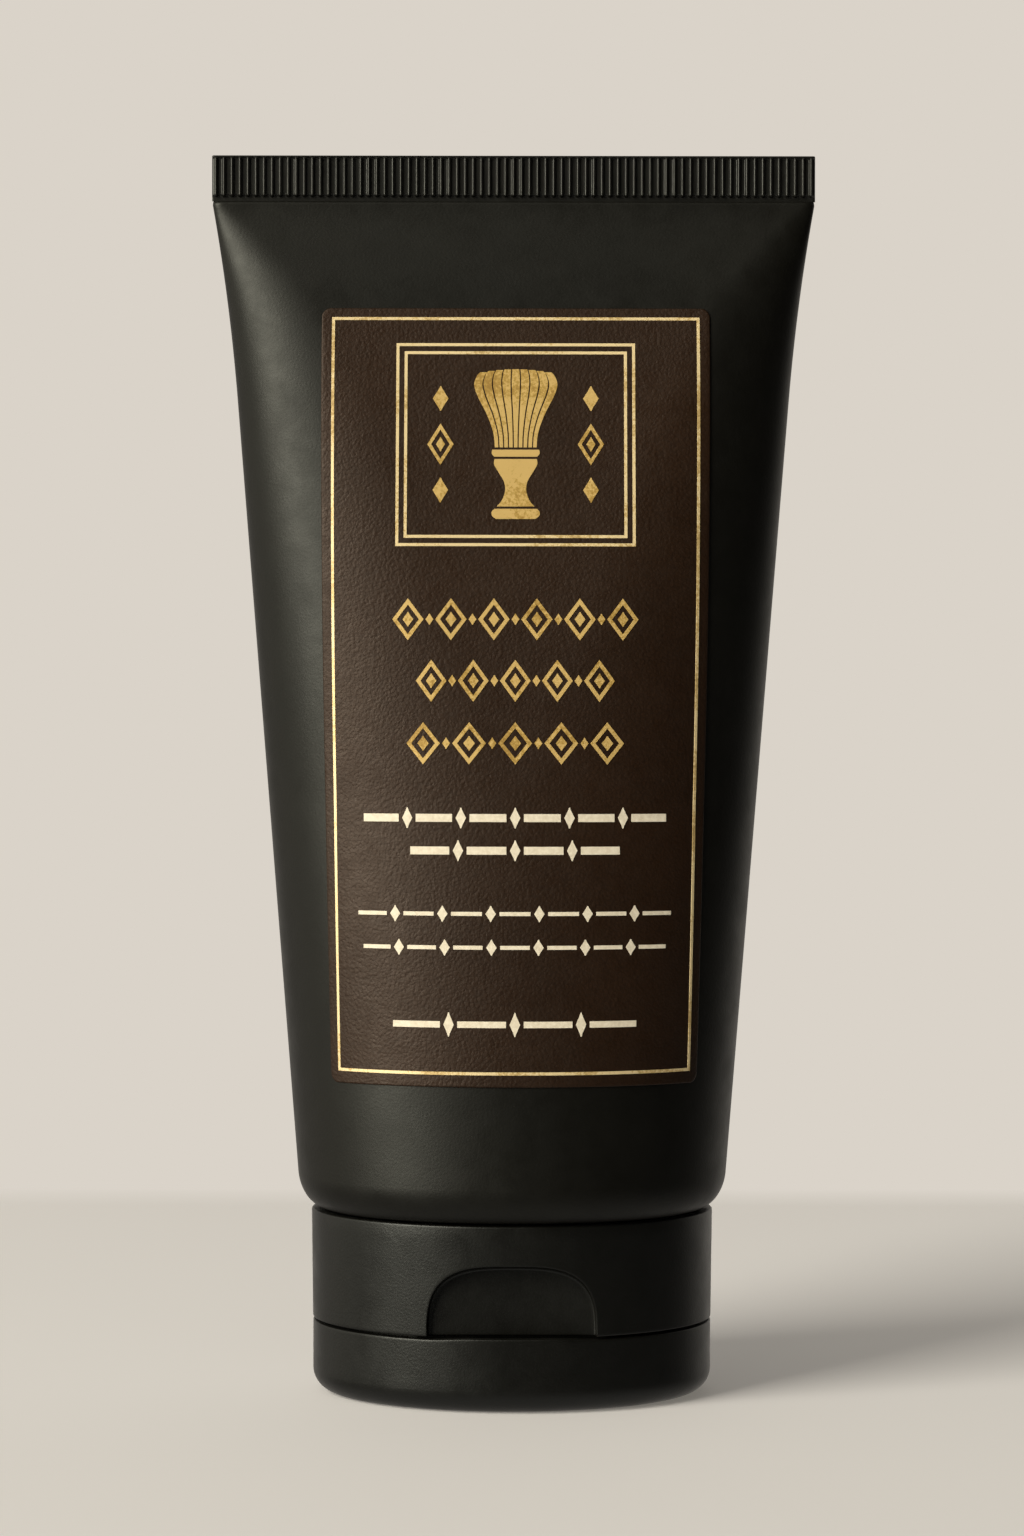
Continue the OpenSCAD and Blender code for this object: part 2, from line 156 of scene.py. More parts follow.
def arc_tables(heights, reach=30.0, steps=601):
    """Arc length from the front's middle to each x, for each height."""
    x = np.linspace(0, reach, steps)
    y = front_y(x[None, :], heights[:, None])
    step = np.hypot(np.diff(x)[None, :], np.diff(y, axis=1))
    return x, np.concatenate([np.zeros((len(heights), 1)), np.cumsum(step, axis=1)], axis=1)


ARC_HEIGHTS = np.linspace(LABEL_Z - 1, LABEL_Z + LABEL_H + 1, 205)
ARC_X, ARC_LENGTH = arc_tables(ARC_HEIGHTS)


def arc_x(s, z):
    """x of the point at arc length s from the front's middle, at height z."""
    place = (z - ARC_HEIGHTS[0]) / (ARC_HEIGHTS[1] - ARC_HEIGHTS[0])
    row = np.clip(place.astype(int), 0, len(ARC_HEIGHTS) - 2)
    part = place - row
    out = np.empty_like(s)
    for k in np.unique(row):
        here = row == k
        low = np.interp(np.abs(s[here]), ARC_LENGTH[k], ARC_X)
        high = np.interp(np.abs(s[here]), ARC_LENGTH[k + 1], ARC_X)
        out[here] = np.sign(s[here]) * (low + (high - low) * part[here])
    return out


def wrap(s, z, lift):
    """Points of the front at arc length s from the label's middle, height z, lifted off it."""
    s, z, lift = np.broadcast_arrays(np.asarray(s, float), np.asarray(z, float), lift)
    x = arc_x((s + LABEL_SHIFT).ravel(), z.ravel()).reshape(s.shape)
    y = front_y(x, z)
    nudge = 0.05
    dx = (front_y(x + nudge, z) - front_y(x - nudge, z)) / (2 * nudge)
    dz = (front_y(x, z + nudge) - front_y(x, z - nudge)) / (2 * nudge)
    n = np.sqrt(dx ** 2 + dz ** 2 + 1)
    return np.stack([x - lift * dx / n, -y - lift / n, z - lift * dz / n], axis=-1)


# ---- Mesh helpers ----

def grid_quads(rows, columns, close_rows=False, close_columns=False, start=0, flip=False):
    """Quads of a grid of points, row by row."""
    r = np.arange(rows if close_rows else rows - 1)
    c = np.arange(columns if close_columns else columns - 1)
    i, j = np.meshgrid(r, c, indexing="ij")
    down, right = (i + 1) % rows, (j + 1) % columns
    quads = np.stack([i * columns + j, i * columns + right, down * columns + right,
                      down * columns + j], axis=-1).reshape(-1, 4) + start
    return quads[:, ::-1] if flip else quads


def edge_path(rows, columns):
    """Indices round the edge of a grid of points, anticlockwise from its first point."""
    return np.concatenate([np.arange(columns), np.arange(1, rows) * columns + columns - 1,
                           (rows - 1) * columns + np.arange(columns - 2, -1, -1),
                           np.arange(rows - 2, 0, -1) * columns])


def make_piece(name, points, quads, material, body, stands_for=(), ends=(), sharp=None,
               merge=False):
    """Mesh object from points in millimetres, quads and end faces, riding on a CAD body."""
    loops = np.concatenate([np.asarray(quads, np.int32).ravel()]
                           + [np.asarray(e, np.int32) for e in ends])
    sizes = np.concatenate([np.full(len(quads), 4)] + [[len(e)] for e in ends]).astype(np.int32)
    mesh = bpy.data.meshes.new(name)
    mesh.vertices.add(len(points))
    places = (np.asarray(points, np.float64) * MM).astype(np.float32)
    mesh.vertices.foreach_set("co", places.ravel())
    mesh.loops.add(len(loops))
    mesh.loops.foreach_set("vertex_index", loops)
    mesh.polygons.add(len(sizes))
    starts = np.concatenate([[0], np.cumsum(sizes)[:-1]]).astype(np.int32)
    mesh.polygons.foreach_set("loop_start", starts)
    mesh.update(calc_edges=True)
    if merge:
        work = bmesh.new()
        work.from_mesh(mesh)
        bmesh.ops.remove_doubles(work, verts=work.verts, dist=0.002 * MM)
        bmesh.ops.dissolve_degenerate(work, edges=work.edges, dist=0.0005 * MM)
        work.to_mesh(mesh)
        work.free()
    mesh.validate()
    mesh.shade_smooth()
    if sharp:
        mesh.set_sharp_from_angle(angle=math.radians(sharp))
    mesh.materials.append(material)
    piece = bpy.data.objects.new(name, mesh)
    bpy.context.scene.collection.objects.link(piece)
    if body:
        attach(piece, body)
    if stands_for:
        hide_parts(*stands_for)
    return piece


def smooth(t):
    """Smooth step from 0 to 1."""
    t = np.clip(t, 0, 1)
    return t * t * (3 - 2 * t)


# ---- Materials ----

def link(tree, a, out, b, into):
    tree.links.new(a.outputs[out], b.inputs[into])


def add(tree, kind, **settings):
    """Node of the given kind, with its settings."""
    node = tree.nodes.new("ShaderNode" + kind)
    for key, value in settings.items():
        setattr(node, key, value)
    return node


def node_material(name):
    """New material, with its node tree, its shader and the coordinates that its nodes use."""
    material = bpy.data.materials.new(name)
    material.use_nodes = True
    tree = material.node_tree
    return material, tree, tree.nodes["Principled BSDF"], add(tree, "TexCoord")


def feed(node, values):
    """Give a node's sockets their own uniform values."""
    for socket, value in values.items():
        node.inputs[socket].default_value = value


def noise(tree, where, scale, detail=2.0, rough=0.5, distortion=0.0):
    node = add(tree, "TexNoise")
    feed(node, {"Scale": scale, "Detail": detail, "Roughness": rough, "Distortion": distortion})
    link(tree, where, "Object", node, "Vector")
    return node


def cells(tree, where, scale, feature="F1"):
    node = add(tree, "TexVoronoi", feature=feature)
    feed(node, {"Scale": scale})
    link(tree, where, "Object", node, "Vector")
    return node


def remap(tree, source, out, low, high, to_low, to_high):
    node = add(tree, "MapRange")
    feed(node, {"From Min": low, "From Max": high, "To Min": to_low, "To Max": to_high})
    link(tree, source, out, node, "Value")
    return node


def ramp(tree, source, out, stops):
    node = add(tree, "ValToRGB")
    marks = node.color_ramp.elements
    while len(marks) < len(stops):
        marks.new(0.5)
    for mark, (place, colour) in zip(marks, stops):
        mark.position = place
        mark.color = (*colour, 1)
    link(tree, source, out, node, "Fac")
    return node


def paint(tree, shader, source, out, stops):
    """Base colour from a ramp."""
    link(tree, ramp(tree, source, out, stops), "Color", shader, "Base Color")


def drift_gloss(tree, shader, source, low, high):
    """Roughness that drifts between two values with a noise."""
    link(tree, remap(tree, source, "Fac", 0.3, 0.7, low, high), "Result", shader, "Roughness")


def bump(tree, shader, layers):
    """Chain of bumps, each (node, output, height in millimetres)."""
    before = None
    for source, out, height in layers:
        node = add(tree, "Bump")
        feed(node, {"Strength": 1.0, "Distance": height * MM})
        link(tree, source, out, node, "Height")
        if before:
            link(tree, before, "Normal", node, "Normal")
        before = node
    link(tree, before, "Normal", shader, "Normal")


def moulded_plastic(name, colour, roughness, grain_mm, grain_depth, specular=0.35, spread=0.05,
                    tint_of_gloss=(0.955, 1.0, 0.975)):
    """Fine-grained moulded plastic: colour drifts, worn and dusty patches change the gloss."""
    material, tree, shader, where = node_material(name)
    drift = noise(tree, where, 70, 4, 0.6)
    dark = tuple(c * 0.86 for c in colour)
    light = tuple(c * 1.18 for c in colour)
    paint(tree, shader, drift, "Fac", [(0.3, dark), (0.7, light)])
    wear = noise(tree, where, 260, 5, 0.65, 0.4)
    drift_gloss(tree, shader, wear, roughness - spread, roughness + spread)
    feed(shader, {"Specular IOR Level": specular, "Specular Tint": (*tint_of_gloss, 1)})
    grain = noise(tree, where, 1000 / grain_mm, 2, 0.6)
    pits = cells(tree, where, 700 / grain_mm)
    bump(tree, shader, [(grain, "Fac", grain_depth), (pits, "Distance", grain_depth * 0.5)])
    return material


SLEEVE_BLACK = moulded_plastic("matte_black_film", (0.0037, 0.0034, 0.0025), 0.45, 0.28, 0.012)
SEAL_BLACK = moulded_plastic("crimped_film", (0.0037, 0.0034, 0.0025), 0.39, 0.2, 0.006,
                            specular=0.62)
CAP_BLACK = moulded_plastic("satin_black_cap", (0.0031, 0.0029, 0.0021), 0.4, 0.25, 0.014,
                           specular=0.5, tint_of_gloss=(0.93, 0.99, 1.0))
INNER_BLACK = moulded_plastic("moulded_black_inner", (0.006, 0.0058, 0.005), 0.4, 0.3, 0.004)


def leather_label():
    """Brown paper with a pressed leather grain; its colour is darkened along the grain's creases as
    painted shade.
    """
    material, tree, shader, where = node_material("brown_leather_grain")
    broad = noise(tree, where, 45, 4, 0.6)
    tint = ramp(tree, broad, "Fac",
                [(0.3, (0.0145, 0.0058, 0.0016)), (0.7, (0.020, 0.0080, 0.0023))])
    grain = cells(tree, where, 2500, "SMOOTH_F1")
    crease = cells(tree, where, 1850, "DISTANCE_TO_EDGE")
    valley = remap(tree, crease, "Distance", 0.0, 0.16, 0.72, 1.0)
    # Painted shade: the base colour is multiplied darker along the creases of the grain.
    crease_painted_shade = add(tree, "Mix", data_type="RGBA", blend_type="MULTIPLY")
    feed(crease_painted_shade, {"Factor": 1.0})
    link(tree, tint, "Color", crease_painted_shade, 6)
    link(tree, valley, "Result", crease_painted_shade, 7)
    link(tree, crease_painted_shade, 2, shader, "Base Color")
    worn = noise(tree, where, 420, 4, 0.6)
    drift_gloss(tree, shader, worn, 0.45, 0.56)
    feed(shader, {"Specular IOR Level": 0.41, "Specular Tint": (1.0, 0.86, 0.78, 1)})
    fine = noise(tree, where, 5200, 2, 0.6)
    bump(tree, shader, [(grain, "Distance", 0.045), (valley, "Result", 0.03), (fine, "Fac", 0.01)])
    return material


def gold_foil(name, stops):
    """Warm gold foil over the grain: partly metallic, with small dull speckles."""
    material, tree, shader, where = node_material(name)
    flecks = noise(tree, where, 2600, 3, 0.7)
    broad = noise(tree, where, 160, 3, 0.5)
    both = add(tree, "Math", operation="ADD")
    link(tree, flecks, "Fac", both, 0)
    link(tree, broad, "Fac", both, 1)
    paint(tree, shader, both, "Value", stops)
    feed(shader, {"Metallic": 0.22})
    drift_gloss(tree, shader, flecks, 0.36, 0.55)
    bump(tree, shader, [(flecks, "Fac", 0.012)])
    return material


def cream_ink():
    """Warm white screen ink with a slightly uneven lay."""
    material, tree, shader, where = node_material("cream_ink")
    lay = noise(tree, where, 1800, 3, 0.6)
    paint(tree, shader, lay, "Fac", [(0.3, (0.70, 0.63, 0.49)), (0.7, (0.86, 0.80, 0.66))])
    drift_gloss(tree, shader, lay, 0.5, 0.62)
    bump(tree, shader, [(lay, "Fac", 0.008)])
    return material


def cream_paste():
    """White shaving cream with a faint sheen."""
    material, tree, shader, where = node_material("shaving_cream_paste")
    swirl = noise(tree, where, 180, 4, 0.5, 0.8)
    paint(tree, shader, swirl, "Fac", [(0.3, (0.80, 0.79, 0.75)), (0.7, (0.88, 0.87, 0.83))])
    drift_gloss(tree, shader, swirl, 0.28, 0.42)
    bump(tree, shader, [(swirl, "Fac", 0.2)])
    return material


LABEL_BROWN = leather_label()
GOLD = gold_foil("gold_foil", [(0.72, (0.38, 0.23, 0.057)), (0.9, (0.52, 0.34, 0.088)),
                               (1.0, (0.67, 0.47, 0.17))])
# Lighter, paler gold for the thin border and frame lines: a painted highlight on the foil lines,
# brighter than the gold of the other print.
GOLD_LINE_PAINTED_HIGHLIGHT = gold_foil("gold_line_painted_highlight", [(0.72, (0.50, 0.35, 0.14)), (0.9, (0.68, 0.50, 0.22)),
                                         (1.0, (0.86, 0.70, 0.40))])
INK = cream_ink()
PASTE = cream_paste()


# ---- Sleeve and end seal ----

EDGE_R = 0.55
TOP_HALF_D = 0.78
TOP_SLOPE = -0.08
EASE_H = 12.0


def visible_half_d(z):
    """Half depth of the outside, which eases into the crimped band over the last EASE_H."""
    t = np.clip((z - SEAL_Z + EASE_H) / EASE_H, 0, 1)
    if t == 0:
        return half_d(z) - corner_inset(z)
    start = SEAL_Z - EASE_H
    d0, slope = half_d(start), (half_d(start) - half_d(start - 0.5)) / 0.5
    return ((2 * t ** 3 - 3 * t ** 2 + 1) * d0 + (t ** 3 - 2 * t ** 2 + t) * EASE_H * slope
            + (3 * t ** 2 - 2 * t ** 3) * TOP_HALF_D + (t ** 3 - t ** 2) * EASE_H * TOP_SLOPE)


def visible_section(z, inset, count):
    """Ring of evenly spaced points around the sleeve at height z."""
    a = half_w(z) - corner_inset(z) - inset
    b = visible_half_d(z) - inset
    flat = float(half_w(z) * flat_share(z))
    t = np.linspace(0, np.pi / 2, 1600)
    x = np.concatenate([flat + (a - flat) * np.cos(t) ** (2 / SIDE_POWER), [0]])
    y = np.concatenate([b * np.sin(t) ** (2 / SIDE_POWER), [b]])
    run = np.concatenate([[0], np.cumsum(np.hypot(np.diff(x), np.diff(y)))])
    quarter = count // 4
    even = np.linspace(0, run[-1], quarter + 1)
    qx, qy = np.interp(even, run, x), np.interp(even, run, y)
    qx[-1], qy[0] = 0, 0
    xs = np.concatenate([qx[:-1], -qx[::-1][:-1], -qx[:-1], qx[::-1][:-1]])
    ys = np.concatenate([qy[:-1], qy[::-1][:-1], -qy[:-1], -qy[::-1][:-1]])
    return np.stack([xs, ys, np.full(count, z)], axis=-1)


def sleeve():
    """Closed thin-walled body, from the rounded shoulder up to the crimped band."""
    count = 480
    corner = [CORNER_Z - SHOULDER_H * math.sin(math.radians(t)) for t in np.linspace(75, 3, 13)]
    heights = corner + list(np.linspace(CORNER_Z, SEAL_Z - 30, 90)) \
        + list(np.linspace(SEAL_Z - 29.3, SEAL_Z - EDGE_R, 60))
    rings = [visible_section(z, 0, count) for z in heights]
    # Rounded upper edge that rolls over to the crimped band
    last = rings[-1]
    for t in np.linspace(15, 90, 6):
        inset = EDGE_R * (1 - math.cos(math.radians(t)))
        ring = last.copy()
        ring[:, 1] -= np.sign(ring[:, 1]) * np.minimum(inset, np.abs(ring[:, 1]))
        ring[:, 0] *= 1 - inset * 0.2 / TOP_HALF_W
        ring[:, 2] = SEAL_Z - EDGE_R * (1 - math.sin(math.radians(t)))
        rings.append(ring)
    outer = np.concatenate(rings)
    inner_heights = corner[::3] + list(np.linspace(CORNER_Z, SEAL_Z - 6, 50))
    inner_heights[0] = heights[0]
    inner = np.concatenate([visible_section(z, SLEEVE_WALL, count) for z in inner_heights])
    rows, inner_rows = len(rings), len(inner_heights)
    start = rows * count
    quads = [grid_quads(rows, count, close_columns=True),
             grid_quads(inner_rows, count, close_columns=True, start=start, flip=True)]
    i = np.arange(count)
    j = (i + 1) % count
    quads.append(np.stack([i, i + start, j + start, j], axis=-1))
    # Both ends close across the flattened section, from the back to the front
    half = count // 2
    k = np.arange(1, half - 1)
    strip = np.stack([k, k + 1, count - k - 1, count - k], axis=-1)
    tips = [[0, 1, count - 1], [half - 1, half, half + 1]]
    top, end = (rows - 1) * count, start + (inner_rows - 1) * count
    quads += [strip + top, strip[:, ::-1] + end]
    ends = [[v + top for v in tip] for tip in tips] + [[v + end for v in tip[::-1]] for tip in tips]
    return make_piece("sleeve", np.concatenate([outer, inner]), np.concatenate(quads),
                      SLEEVE_BLACK, "tube", ["tube_sleeve"], ends=ends, sharp=50)


SEAL_RIBS = 75
RIB_HIGH, RIB_LOW, BAND_T = 0.65, 0.28, 0.06
BAND_H = 0.5
LIP_H = 0.34


def crimp_half_t(x, z):
    """Half thickness of the end seal at x and height z."""
    pitch = SEAL_W / SEAL_RIBS
    phase = ((x + SEAL_W / 2) / pitch) % 1
    across = np.abs(phase - 0.5) * 2
    ridge = np.sqrt(np.clip(1 - (across / 0.45) ** 2.2, 0, 1))
    # Ridge ends are rounded down into the band, groove ends up into the lip
    foot = smooth((z - SEAL_Z - BAND_H - 0.25 * across ** 2) / 0.28)
    lip = smooth((z - SEAL_TOP + LIP_H + 0.3 * (1 - across) ** 2) / 0.22)
    depth = np.maximum(ridge * foot, lip)
    base = BAND_T + (RIB_LOW - BAND_T) * foot
    return base + (RIB_HIGH - base) * depth


def end_seal():
    """Flat welded end: a thin band, upright ribs and a plain lip along the top."""
    per_rib = 14
    edge_r = 0.3
    x = np.linspace(-SEAL_W / 2 + edge_r, SEAL_W / 2 - edge_r, SEAL_RIBS * per_rib + 1)
    heights = np.concatenate([
        [SEAL_Z, SEAL_Z + 0.35], SEAL_Z + BAND_H + np.linspace(-0.03, 0.62, 9),
        np.linspace(SEAL_Z + 1.8, SEAL_TOP - LIP_H - 0.8, 5),
        SEAL_TOP - LIP_H + np.linspace(-0.36, 0.24, 9),
    ])
    rows, insets = list(heights), [0.0] * len(heights)
    top_r = 0.13
    for t in np.linspace(0, 90, 5):
        rows.append(SEAL_TOP - top_r * (1 - math.sin(math.radians(t))))
        insets.append(top_r * (1 - math.cos(math.radians(t))))
    rings = []
    for z, inset in zip(rows, insets):
        half_t = crimp_half_t(x, z) - inset
        side_t = half_t[-1]
        bend = np.radians(np.linspace(75, -75, 11))
        side_x = SEAL_W / 2 - edge_r + (edge_r - inset * 0.6) * np.cos(bend)
        side_y = side_t * np.sin(bend)
        ring_x = np.concatenate([x, side_x, x[::-1], -side_x])
        ring_y = np.concatenate([-half_t, -side_y, half_t[::-1], side_y])
        rings.append(np.stack([ring_x, ring_y, np.full(len(ring_x), z)], axis=-1))
    # The lower and upper faces
    n, rows_n = len(rings[0]), len(rings)
    front, side = len(x), len(bend)
    back = 2 * front + side - 1
    k = np.arange(front - 1)
    quads, ends = [grid_quads(rows_n, n, close_columns=True)], []
    for base, turn in ((0, 1), ((rows_n - 1) * n, -1)):
        quads.append(base + np.stack([k, back - k, back - k - 1, k + 1], axis=-1)[:, ::turn])
        right = list(range(base + front - 1, base + front + side + 1))
        left = list(range(base + back, base + n)) + [base]
        ends += [right[::-turn], left[::-turn]]
    return make_piece("crimped_seal", np.concatenate(rings), np.concatenate(quads), SEAL_BLACK,
                      "tube", ["end_seal"], ends=ends, sharp=60)


# ---- Label and print ----

def wrapped_plate(rows, columns, low, high):
    """Points and quads of a closed plate. Each row is (height, left, right)."""
    across = np.linspace(0, 1, columns + 1)
    rows = np.asarray(rows, float)
    s = rows[:, 1:2] + (rows[:, 2:3] - rows[:, 1:2]) * across
    top, under = wrap(s, rows[:, :1], high), wrap(s, rows[:, :1], low)
    r, c = s.shape
    n = r * c
    quads = [grid_quads(r, c, start=n), grid_quads(r, c, flip=True)]
    edge = edge_path(r, c)
    following = np.roll(edge, -1)
    quads.append(np.stack([edge, following, following + n, edge + n], axis=-1))
    return np.concatenate([under.reshape(-1, 3), top.reshape(-1, 3)]), np.concatenate(quads)


def join(parts):
    """One set of points and quads from several."""
    points, quads, start = [], [], 0
    for p, q in parts:
        points.append(p)
        quads.append(q + start)
        start += len(p)
    return np.concatenate(points), np.concatenate(quads)


def label():
    """Plate with rounded corners, whose edge is rolled down onto the sleeve."""
    half, top, c = LABEL_W / 2, LABEL_Z + LABEL_H, LABEL_CORNER
    bends = np.radians(np.linspace(0, 84, 9))
    bent = [(c * (1 - math.sin(t)), half - c * (1 - math.cos(t))) for t in bends]
    low_rows = [(LABEL_Z + rise, w) for rise, w in bent[::-1]]
    high_rows = [(top - rise, w) for rise, w in bent]
    middle = [(z, half) for z in np.linspace(LABEL_Z + c, top - c, 200)[1:-1]]
    outline = np.array(low_rows + middle + high_rows)
    layers, roll, mid = [], 0.16, LABEL_Z + LABEL_H / 2
    across = np.linspace(-1, 1, 151)
    for shrink, lift in ((0, LABEL_IN), (0, LABEL_OUT - roll * 0.45),
                         (roll * 0.35, LABEL_OUT - roll * 0.12), (roll, LABEL_OUT)):
        w = outline[:, 1:] * (1 - shrink / half)
        z = mid + (outline[:, :1] - mid) * (1 - shrink / (LABEL_H / 2))
        layers.append(wrap(w * across, z, lift).reshape(-1, 3))
    r, cols = len(outline), len(across)
    edge = edge_path(r, cols)
    n, m = r * cols, len(edge)
    points = [layers[0]] + [layer[edge] for layer in layers[1:-1]] + [layers[-1]]
    quads = [grid_quads(r, cols, flip=True)]
    loops = [edge, n + np.arange(m), n + m + np.arange(m), n + 2 * m + edge]
    for a, b in zip(loops, loops[1:]):
        quads.append(np.stack([a, np.roll(a, -1), np.roll(b, -1), b], axis=-1))
    quads.append(grid_quads(r, cols, start=n + 2 * m))
    return make_piece("leather_grain_label", np.concatenate(points), np.concatenate(quads),
                      LABEL_BROWN, "tube", ["front_label"], sharp=70)


def frame_line(half_width, low_z, high_z, line_w):
    """Closed raised line just inside a rectangle on the label."""
    columns, rows = 60, 80

    def loop(inset):
        w, z0, z1 = half_width - inset, low_z + inset, high_z - inset
        u, v = np.linspace(0, 1, columns, endpoint=False), np.linspace(0, 1, rows, endpoint=False)
        s = np.concatenate([-w + 2 * w * u, np.full(rows, w), w - 2 * w * u, np.full(rows, -w)])
        z = np.concatenate([np.full(columns, z0), z0 + (z1 - z0) * v, np.full(columns, z1),
                            z1 - (z1 - z0) * v])
        return s, z

    rings = [wrap(*loop(0), PRINT_IN), wrap(*loop(line_w), PRINT_IN),
             wrap(*loop(line_w - 0.03), PRINT_OUT), wrap(*loop(0.03), PRINT_OUT)]
    n = len(rings[0])
    return np.concatenate(rings), grid_quads(4, n, close_rows=True, close_columns=True, flip=True)


def shape(rows, columns):
    """Printed shape from rows of (height, left, right)."""
    return wrapped_plate(rows, columns, PRINT_IN, PRINT_OUT)


def mirrored(s, z, outline):
    """Rows of a shape symmetric about its own upright axis, from [height, half width] pairs."""
    return [(z + h, s - w, s + w) for h, w in outline]


def lozenge(s, z, w, h):
    steps = np.linspace(-1, 1, 9)
    return shape(mirrored(s, z, [(h / 2 * t, max(w / 2 * (1 - abs(t)), 0.06)) for t in steps]), 2)


def lozenge_ring(s, z, w, h, stroke):
    """Outline of a lozenge, with a small solid one inside it."""
    steps = 6
    corner = np.array([[0, -1], [1, 0], [0, 1], [-1, 0], [0, -1]], float)
    t = np.linspace(0, 1, steps, endpoint=False)[:, None]
    path = np.concatenate([corner[i] * (1 - t) + corner[i + 1] * t for i in range(4)])
    half = np.array([w / 2, h / 2])
    slope = stroke * math.hypot(w, h) / 2

    def loop(inset):
        size = half - np.array([slope / half[1], slope / half[0]]) * inset
        return s + path[:, 0] * size[0], z + path[:, 1] * size[1]

    rings = [wrap(*loop(0), PRINT_IN), wrap(*loop(1), PRINT_IN),
             wrap(*loop(0.94), PRINT_OUT), wrap(*loop(0.06), PRINT_OUT)]
    ring = (np.concatenate(rings),
            grid_quads(4, len(path), close_rows=True, close_columns=True, flip=True))
    return [ring, lozenge(s, z, w * 0.34, h * 0.34)]


def bar(s, z, w, h):
    return shape([(z - h / 2, s - w / 2, s + w / 2), (z + h / 2, s - w / 2, s + w / 2)],
                 max(4, int(w / 0.4)))


def lozenge_rows(rows, h):
    """Rows of outlined lozenges, with small solid ones between them."""
    parts = []
    for above, w, count in rows:
        z, pitch = LABEL_Z + above, w / count
        for i in range(count):
            parts += lozenge_ring((i - (count - 1) / 2) * pitch, z, pitch * 0.74, h, 0.52)
        parts += [lozenge((i - count / 2) * pitch, z, 1, h * 0.26) for i in range(1, count)]
    return parts


def bar_rows(rows, h, weight):
    """Rows of bars, with lozenges between them."""
    parts, gap = [], 2.2
    for above, w, count in rows:
        z, pitch = LABEL_Z + above, (w - gap * (count - 1)) / count + gap
        parts += [bar((i - (count - 1) / 2) * pitch, z, pitch - gap, weight) for i in range(count)]
        parts += [lozenge((i - count / 2) * pitch, z, gap * 0.6, h) for i in range(1, count)]
    return parts


def printed(name, parts, material, node):
    """One printed piece from several shapes."""
    points, quads = join(parts)
    return make_piece(name, points, quads, material, "tube", [node], sharp=35)


# Rows of print, each with its height above the label's lower edge, its width and its count
HEADING_ROWS = (58.7, 32.7, 6), (50.9, 26.6, 5), (43, 29.1, 5)
UPPER_ROWS = (33.6, 38.8, 6), (29.5, 26.5, 4)
LOWER_ROWS = (21.6, 40.4, 7), (17.4, 39, 7)
VOLUME_ROWS = ((7.8, 31, 4),)
HEADING_H = 5.4
LINE_INSET = 1.3
FRAME_HALF_W = 15.3
FRAME_Z = LABEL_Z + 68
FRAME_H = 26.2
FRAME_STEP = 1.05


def turned(points, steps=6):
    """Smooth curve of (height, half width) through the given points."""
    p = np.array([points[0]] + list(points) + [points[-1]], float)
    out = []
    for a, b, c, d in zip(p, p[1:], p[2:], p[3:]):
        for t in np.linspace(0, 1, steps, endpoint=False):
            out.append(0.5 * (2 * b + (c - a) * t + (2 * a - 5 * b + 4 * c - d) * t ** 2
                              + (3 * b - a - 3 * c + d) * t ** 3))
    return out + [p[-1]]


def tuft(mid, outline, strands, gap):
    """Hair of the brush: strands that fan out, with narrow gaps between them."""
    parts = []
    for i in range(strands):
        rows = []
        for h, w in outline:
            low, high = (2 * i / strands - 1) * w, (2 * (i + 1) / strands - 1) * w
            crown = -0.5 * ((2 * i + 1) / strands - 1) ** 2 * max(0, h - 2) / 7.7
            rows.append((mid + h + crown, low + gap / 2, high - gap / 2))
        parts.append(shape(rows, 3))
    return parts


def emblem():
    """A plain shaving brush between two columns of lozenges."""
    mid = FRAME_Z + FRAME_H / 2
    foot = turned([(-9.6, 2.5), (-9.2, 3.0), (-8.7, 3.05), (-8.3, 2.7)])
    handle = turned([(-8.0, 2.4), (-7.2, 1.75), (-6.0, 1.35), (-4.8, 1.5), (-3.6, 2.2),
                     (-2.6, 2.75), (-1.9, 2.7)])
    ring = turned([(-1.6, 2.75), (-1.2, 3.05), (-0.7, 3.0)])
    hair = turned([(-0.4, 2.75), (1.5, 2.95), (4, 3.8), (6.4, 4.95), (8, 5.4), (9.2, 5.05),
                   (9.7, 4.6)])
    parts = [shape(mirrored(0, mid, outline), 8) for outline in (foot, handle, ring)]
    parts += tuft(mid, hair, 9, 0.16)
    for side in (-1, 1):
        parts += lozenge_ring(side * 9.6, mid, 3.4, 5.4, 0.45)
        parts += [lozenge(side * 9.6, mid + step * 5.9, 2, 3.2) for step in (-1, 1)]
    return parts


def label_and_print():
    label()
    inset = LINE_INSET
    # The border line is printed in the lighter gold that carries a painted highlight.
    printed("gold_border_line", [frame_line(LABEL_W / 2 - inset, LABEL_Z + inset + 0.2,
                                            LABEL_Z + LABEL_H - inset + 0.1, FOIL_LINE)],
            GOLD_LINE_PAINTED_HIGHLIGHT, "label_border")
    # The emblem frame lines are printed in the lighter gold that carries a painted highlight.
    printed("gold_emblem_frame",
            [frame_line(FRAME_HALF_W - k, FRAME_Z + k, FRAME_Z + FRAME_H - k, FOIL_LINE)
             for k in (0, FRAME_STEP)], GOLD_LINE_PAINTED_HIGHLIGHT, "emblem_frame")
    printed("gold_brush_emblem", emblem(), GOLD, "emblem")
    printed("gold_heading_rows", lozenge_rows(HEADING_ROWS, HEADING_H), GOLD,
            "heading_ornaments")
    printed("cream_upper_rows", bar_rows(UPPER_ROWS, 2.6, 1), INK,
            "upper_caption_bars")
    printed("cream_lower_rows", bar_rows(LOWER_ROWS, 2, 0.5), INK,
            "lower_caption_bars")
    printed("cream_volume_row", bar_rows(VOLUME_ROWS, 3, 0.8), INK, "volume_bars")


# ---- Cap ----

